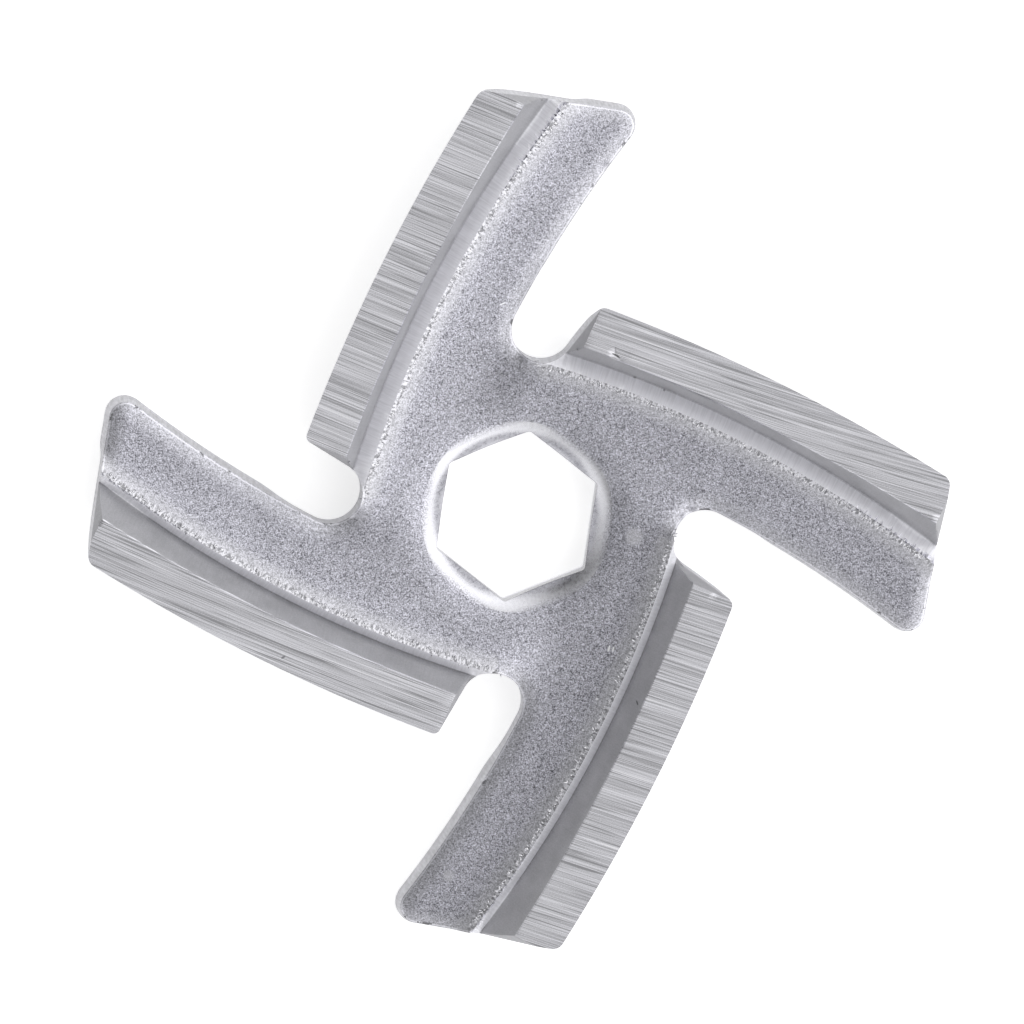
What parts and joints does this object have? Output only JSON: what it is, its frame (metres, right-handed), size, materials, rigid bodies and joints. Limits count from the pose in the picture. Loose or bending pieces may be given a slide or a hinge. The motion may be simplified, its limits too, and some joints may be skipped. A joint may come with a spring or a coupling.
{
  "type": "meat grinder knife",
  "caption": "Pinwheel mincer knife stamped from one steel sheet: curved arms with upturned ground cutting flats, and a hexagonal drive hole in the hub.",
  "frame": {"origin": "middle of the drive hole on the flat back face", "axes": "+Z along the drive hole, from the back face to the cutting flats; -X along the first arm"},
  "size_m": [0.0528, 0.0528, 0.0052],
  "materials": {
    "knife_steel": "ground cutting flats, blasted web and smooth bent walls"
  },
  "bodies": {
    "root": {"knife": "knife_steel"}
  },
  "joints": []
}
